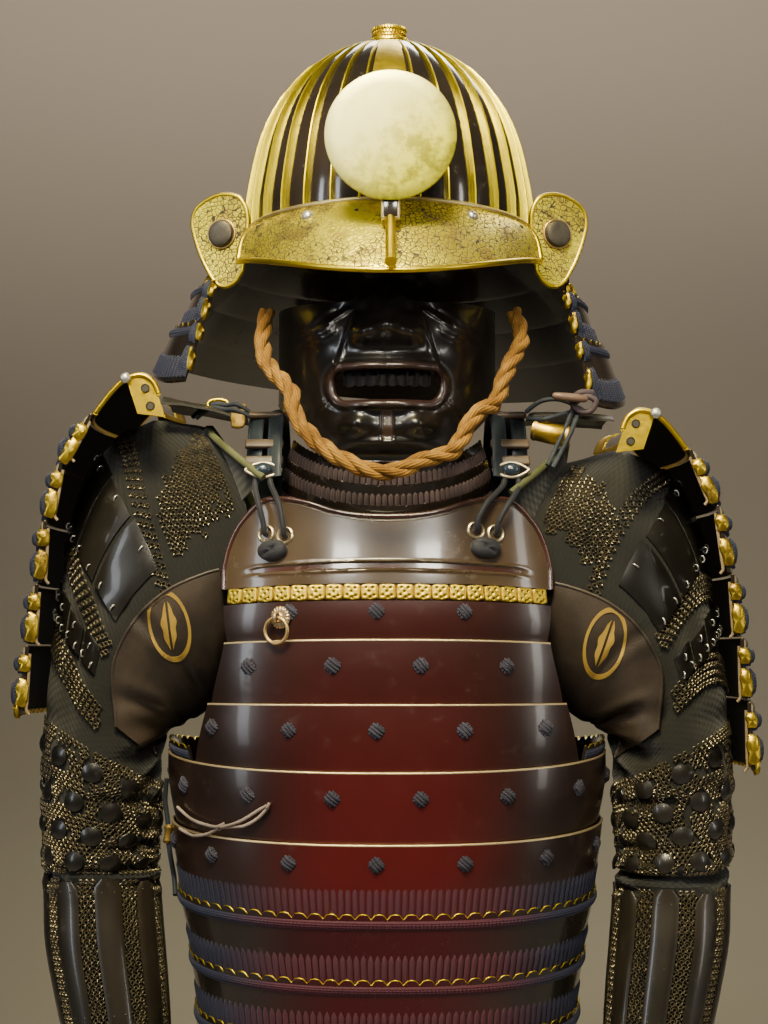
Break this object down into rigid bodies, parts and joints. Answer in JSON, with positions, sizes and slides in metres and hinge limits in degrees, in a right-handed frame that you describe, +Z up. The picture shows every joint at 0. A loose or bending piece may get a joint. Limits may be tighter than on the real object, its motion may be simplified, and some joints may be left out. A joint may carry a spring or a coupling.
{
  "type": "samurai armour",
  "caption": "Samurai armour in its worn pose: ribbed helmet with disc crest, half mask, laced lamellar cuirass with tassets, shoulder guards and armoured sleeves.",
  "frame": {"origin": "between the shoulder straps, on the line where the wearer's shoulders carry the armour", "axes": "+Z up, the armour's front faces -Y, +X towards the wearer's left"},
  "size_m": [0.606, 0.4341, 1.1165],
  "materials": {
    "black_lacquer": "glossy black lacquer over iron",
    "brown_lacquer": "glossy bronze brown lacquer",
    "maroon_lacquer": "glossy dark chestnut lacquer",
    "splint_lacquer": "satin brown lacquer",
    "gilt": "worn gold leaf over lacquer",
    "brass_fittings": "aged brass",
    "silver": "silvered",
    "blue_lacing": "indigo silk lacing over lacquered lames",
    "purple_lacing": "faded purple brown silk lacing",
    "strap_leather": "blue grey stencilled leather",
    "sleeve_cloth": "dark hemp cloth with mail and plates",
    "sleeve_leather": "smooth dark brown leather",
    "rope": "tan twisted silk rope"
  },
  "bodies": {
    "armour": {"breast_plate": "brown_lacquer", "back_plate": "brown_lacquer", "gold_scale_row": "gilt", "front_lame_1": "maroon_lacquer", "front_lame_2": "maroon_lacquer", "front_lame_3": "maroon_lacquer", "front_lame_4": "maroon_lacquer", "front_lame_5": "maroon_lacquer", "back_lame_2": "maroon_lacquer", "back_lame_3": "maroon_lacquer", "back_lame_4": "maroon_lacquer", "back_lame_5": "maroon_lacquer", "waist_front_1": "blue_lacing", "waist_front_2": "blue_lacing", "waist_front_3": "blue_lacing", "waist_back_1": "blue_lacing", "waist_back_2": "blue_lacing", "waist_back_3": "blue_lacing", "side_plate_right": "blue_lacing", "side_plate_left": "blue_lacing", "shoulder_strap_right": "strap_leather", "shoulder_strap_left": "strap_leather", "ring_staple": "brass_fittings", "tasset_1": "blue_lacing", "tasset_2": "blue_lacing", "tasset_3": "blue_lacing", "tasset_4": "blue_lacing", "tasset_5": "blue_lacing", "tasset_6": "blue_lacing", "tasset_7": "blue_lacing", "sleeve_right": "sleeve_cloth", "sleeve_facing_right": "sleeve_leather", "forearm_splints_right": "splint_lacquer", "hand_plate_right": "splint_lacquer", "sleeve_left": "sleeve_cloth", "sleeve_facing_left": "sleeve_leather", "forearm_splints_left": "splint_lacquer", "hand_plate_left": "splint_lacquer", "shoulder_guard_top_right": "black_lacquer", "shoulder_guard_lames_right": "blue_lacing", "shoulder_guard_top_left": "black_lacquer", "shoulder_guard_lames_left": "blue_lacing", "helmet_bowl": "black_lacquer", "helmet_top_ring": "gilt", "helmet_visor": "gilt", "neck_guard_lame_1": "black_lacquer", "neck_guard_lame_2": "black_lacquer", "neck_guard_lame_3": "black_lacquer", "neck_guard_lame_4": "black_lacquer", "turn_back_right": "gilt", "turn_back_left": "gilt", "crest_holder": "gilt", "face_mask": "black_lacquer", "mask_teeth": "silver", "throat_lame_1": "purple_lacing", "throat_lame_2": "purple_lacing", "throat_lame_3": "purple_lacing", "chin_cord": "rope"},
    "breast_ring": {"breast_ring": "brass_fittings"},
    "crest_disc": {"crest_disc": "gilt"}
  },
  "joints": [
    {"name": "ring_swing", "type": "hinge", "parent": "armour", "child": "breast_ring", "pos_m": [-0.08587, -0.1203, -0.17], "axis": [-0.8866, 0.4624, 0], "range_deg": [0, 110]},
    {"name": "crest_lift", "type": "slide", "parent": "armour", "child": "crest_disc", "axis": [0, 0, 1], "range_m": [0, 0.04]}
  ]
}
